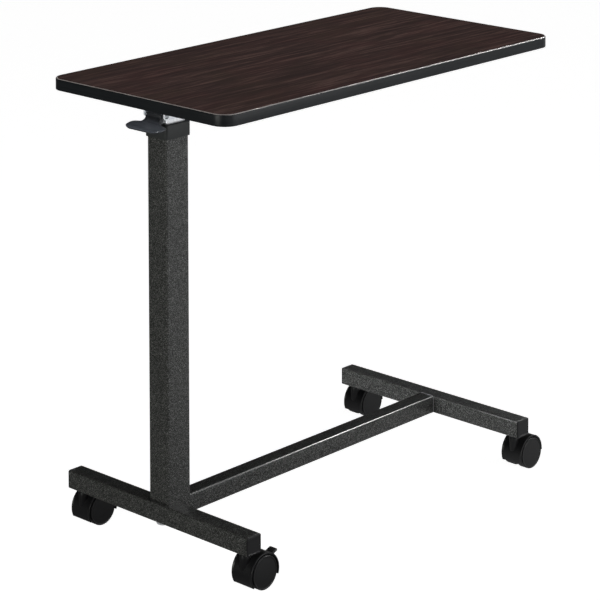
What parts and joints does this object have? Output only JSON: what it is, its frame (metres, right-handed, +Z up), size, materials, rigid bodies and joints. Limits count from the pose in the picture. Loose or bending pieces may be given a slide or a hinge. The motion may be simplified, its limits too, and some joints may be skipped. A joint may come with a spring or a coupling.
{
  "type": "overbed table",
  "caption": "Height-adjustable overbed table: wood-grain top cantilevered from a telescoping column on an H-shaped base with swivelling twin-wheel casters.",
  "frame": {"origin": "on the floor, under the centre of the tabletop, which is also the centre of the overall plan box", "axes": "+Z up; +X along the tabletop from the column side towards the free end; -Y is the long side nearest a seated user"},
  "size_m": [0.762, 0.3922, 0.711],
  "materials": {
    "laminate": "dark espresso wood-grain laminate, satin",
    "backer": "plain dark balancing sheet, matte",
    "core": "raw particleboard",
    "band": "black edge band, satin",
    "powder_coat": "dark hammertone powder coat with fine speckle",
    "chrome": "bright chrome plating",
    "zinc": "bright zinc plating",
    "black_plastic": "moulded black plastic, fine texture",
    "wheel_plastic": "moulded black nylon, satin",
    "nylon": "natural nylon, smooth",
    "steel": "machined steel"
  },
  "bodies": {
    "base": {"foot_tube_column_side": "powder_coat", "foot_tube_free_side": "powder_coat", "stretcher_tube": "powder_coat", "end_cap_column_side_front": "black_plastic", "end_cap_column_side_rear": "black_plastic", "end_cap_free_side_front": "black_plastic", "end_cap_free_side_rear": "black_plastic", "outer_column": "powder_coat", "column_base_plate": "steel", "column_bolt_foot": "zinc", "column_bolt_stretcher": "zinc", "column_collar": "black_plastic", "gas_spring_cylinder": "steel", "caster_stem_column_front": "zinc", "caster_stem_column_rear": "zinc", "caster_stem_free_front": "zinc", "caster_stem_free_rear": "zinc"},
    "lift": {"inner_mast": "chrome", "mast_slide_bush": "nylon", "gas_spring_rod": "chrome", "release_head": "steel", "support_channel": "zinc", "cross_strap_1": "zinc", "cross_strap_2": "zinc", "tabletop_core": "core", "tabletop_laminate": "laminate", "tabletop_backer": "backer", "edge_band": "band", "strap_screw_1": "zinc", "strap_screw_2": "zinc", "strap_screw_3": "zinc", "strap_screw_4": "zinc", "lever_pivot_pin": "steel"},
    "lever": {"height_lever": "black_plastic"},
    "release_pin": {"release_pin": "steel"},
    "caster_column_front": {"caster_hood_column_front": "black_plastic", "caster_axle_column_front": "steel", "caster_brake_pin_column_front": "steel"},
    "wheel_column_front_a": {"caster_wheel_column_front_a": "wheel_plastic"},
    "wheel_column_front_b": {"caster_wheel_column_front_b": "wheel_plastic"},
    "brake_column_front": {"caster_brake_column_front": "black_plastic"},
    "caster_column_rear": {"caster_hood_column_rear": "black_plastic", "caster_axle_column_rear": "steel", "caster_brake_pin_column_rear": "steel"},
    "wheel_column_rear_a": {"caster_wheel_column_rear_a": "wheel_plastic"},
    "wheel_column_rear_b": {"caster_wheel_column_rear_b": "wheel_plastic"},
    "brake_column_rear": {"caster_brake_column_rear": "black_plastic"},
    "caster_free_front": {"caster_hood_free_front": "black_plastic", "caster_axle_free_front": "steel"},
    "wheel_free_front_a": {"caster_wheel_free_front_a": "wheel_plastic"},
    "wheel_free_front_b": {"caster_wheel_free_front_b": "wheel_plastic"},
    "caster_free_rear": {"caster_hood_free_rear": "black_plastic", "caster_axle_free_rear": "steel"},
    "wheel_free_rear_a": {"caster_wheel_free_rear_a": "wheel_plastic"},
    "wheel_free_rear_b": {"caster_wheel_free_rear_b": "wheel_plastic"}
  },
  "joints": [
    {"name": "height_lift", "type": "slide", "parent": "base", "child": "lift", "axis": [0, 0, 1], "range_m": [0, 0.432]},
    {"name": "lever_pull", "type": "hinge", "parent": "lift", "child": "lever", "pos_m": [-0.337, 0, 0.676], "axis": [0, 1, 0], "range_deg": [0, 10]},
    {"name": "release_pin_press", "type": "slide", "parent": "lift", "child": "release_pin", "axis": [0, 0, -1], "range_m": [0, 0.0045]},
    {"name": "swivel_column_front", "type": "hinge", "parent": "base", "child": "caster_column_front", "pos_m": [-0.3302, -0.1756, 0.045], "axis": [0, 0, 1], "continuous": true},
    {"name": "wheel_spin_column_front_a", "type": "hinge", "parent": "caster_column_front", "child": "wheel_column_front_a", "pos_m": [-0.3082, -0.1756, 0.025], "axis": [0, 1, 0], "continuous": true},
    {"name": "wheel_spin_column_front_b", "type": "hinge", "parent": "caster_column_front", "child": "wheel_column_front_b", "pos_m": [-0.3082, -0.1756, 0.025], "axis": [0, 1, 0], "continuous": true},
    {"name": "brake_press_column_front", "type": "hinge", "parent": "caster_column_front", "child": "brake_column_front", "pos_m": [-0.2967, -0.1756, 0.0405], "axis": [0, 1, 0], "range_deg": [0, 12], "stiffness_Nm_per_rad": 0.05},
    {"name": "swivel_column_rear", "type": "hinge", "parent": "base", "child": "caster_column_rear", "pos_m": [-0.3302, 0.1756, 0.045], "axis": [0, 0, 1], "continuous": true},
    {"name": "wheel_spin_column_rear_a", "type": "hinge", "parent": "caster_column_rear", "child": "wheel_column_rear_a", "pos_m": [-0.3082, 0.1756, 0.025], "axis": [0, 1, 0], "continuous": true},
    {"name": "wheel_spin_column_rear_b", "type": "hinge", "parent": "caster_column_rear", "child": "wheel_column_rear_b", "pos_m": [-0.3082, 0.1756, 0.025], "axis": [0, 1, 0], "continuous": true},
    {"name": "brake_press_column_rear", "type": "hinge", "parent": "caster_column_rear", "child": "brake_column_rear", "pos_m": [-0.2967, 0.1756, 0.0405], "axis": [0, 1, 0], "range_deg": [0, 12], "stiffness_Nm_per_rad": 0.05},
    {"name": "swivel_free_front", "type": "hinge", "parent": "base", "child": "caster_free_front", "pos_m": [0.3012, -0.1756, 0.045], "axis": [0, 0, 1], "continuous": true},
    {"name": "wheel_spin_free_front_a", "type": "hinge", "parent": "caster_free_front", "child": "wheel_free_front_a", "pos_m": [0.3232, -0.1756, 0.025], "axis": [0, 1, 0], "continuous": true},
    {"name": "wheel_spin_free_front_b", "type": "hinge", "parent": "caster_free_front", "child": "wheel_free_front_b", "pos_m": [0.3232, -0.1756, 0.025], "axis": [0, 1, 0], "continuous": true},
    {"name": "swivel_free_rear", "type": "hinge", "parent": "base", "child": "caster_free_rear", "pos_m": [0.3012, 0.1756, 0.045], "axis": [0, 0, 1], "continuous": true},
    {"name": "wheel_spin_free_rear_a", "type": "hinge", "parent": "caster_free_rear", "child": "wheel_free_rear_a", "pos_m": [0.3232, 0.1756, 0.025], "axis": [0, 1, 0], "continuous": true},
    {"name": "wheel_spin_free_rear_b", "type": "hinge", "parent": "caster_free_rear", "child": "wheel_free_rear_b", "pos_m": [0.3232, 0.1756, 0.025], "axis": [0, 1, 0], "continuous": true}
  ],
  "couplings": [
    {"joint": "release_pin_press", "follows": "lever_pull", "m_per_rad": 0.0245}
  ]
}
